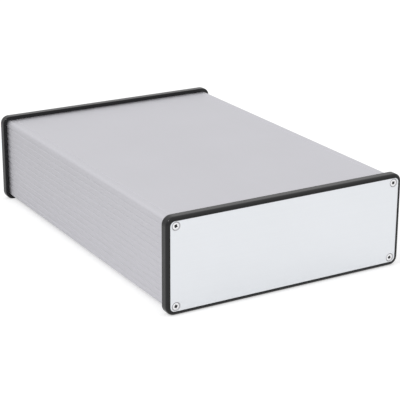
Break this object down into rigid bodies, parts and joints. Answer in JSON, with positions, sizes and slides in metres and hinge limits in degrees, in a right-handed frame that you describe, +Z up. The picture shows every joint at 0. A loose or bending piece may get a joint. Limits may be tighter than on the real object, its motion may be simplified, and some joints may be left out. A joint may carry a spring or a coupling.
{
  "type": "extruded aluminium enclosure",
  "caption": "Flat rectangular instrument enclosure: reeded aluminium extrusion with a sliding belly plate, black moulded end bezels and plain screwed aluminium end plates.",
  "frame": {"origin": "centre of the bounding box on the surface that the enclosure stands on", "axes": "+X across the width, +Y along the extrusion from the front plate to the rear plate, +Z up out of the roof"},
  "size_m": [0.165, 0.2384, 0.06],
  "materials": {
    "anodised_body": "satin clear anodised extrusion",
    "anodised_belly": "satin clear anodised extrusion",
    "bezel_plastic": "black moulded plastic, semi-gloss",
    "plate_aluminium": "smooth satin aluminium sheet",
    "screw_steel": "bright plated steel"
  },
  "bodies": {
    "root": {"body": "anodised_body", "belly_plate": "anodised_belly", "front_bezel": "bezel_plastic", "rear_bezel": "bezel_plastic", "front_plate": "plate_aluminium", "rear_plate": "plate_aluminium", "front_screws": "screw_steel", "rear_screws": "screw_steel"}
  },
  "joints": []
}
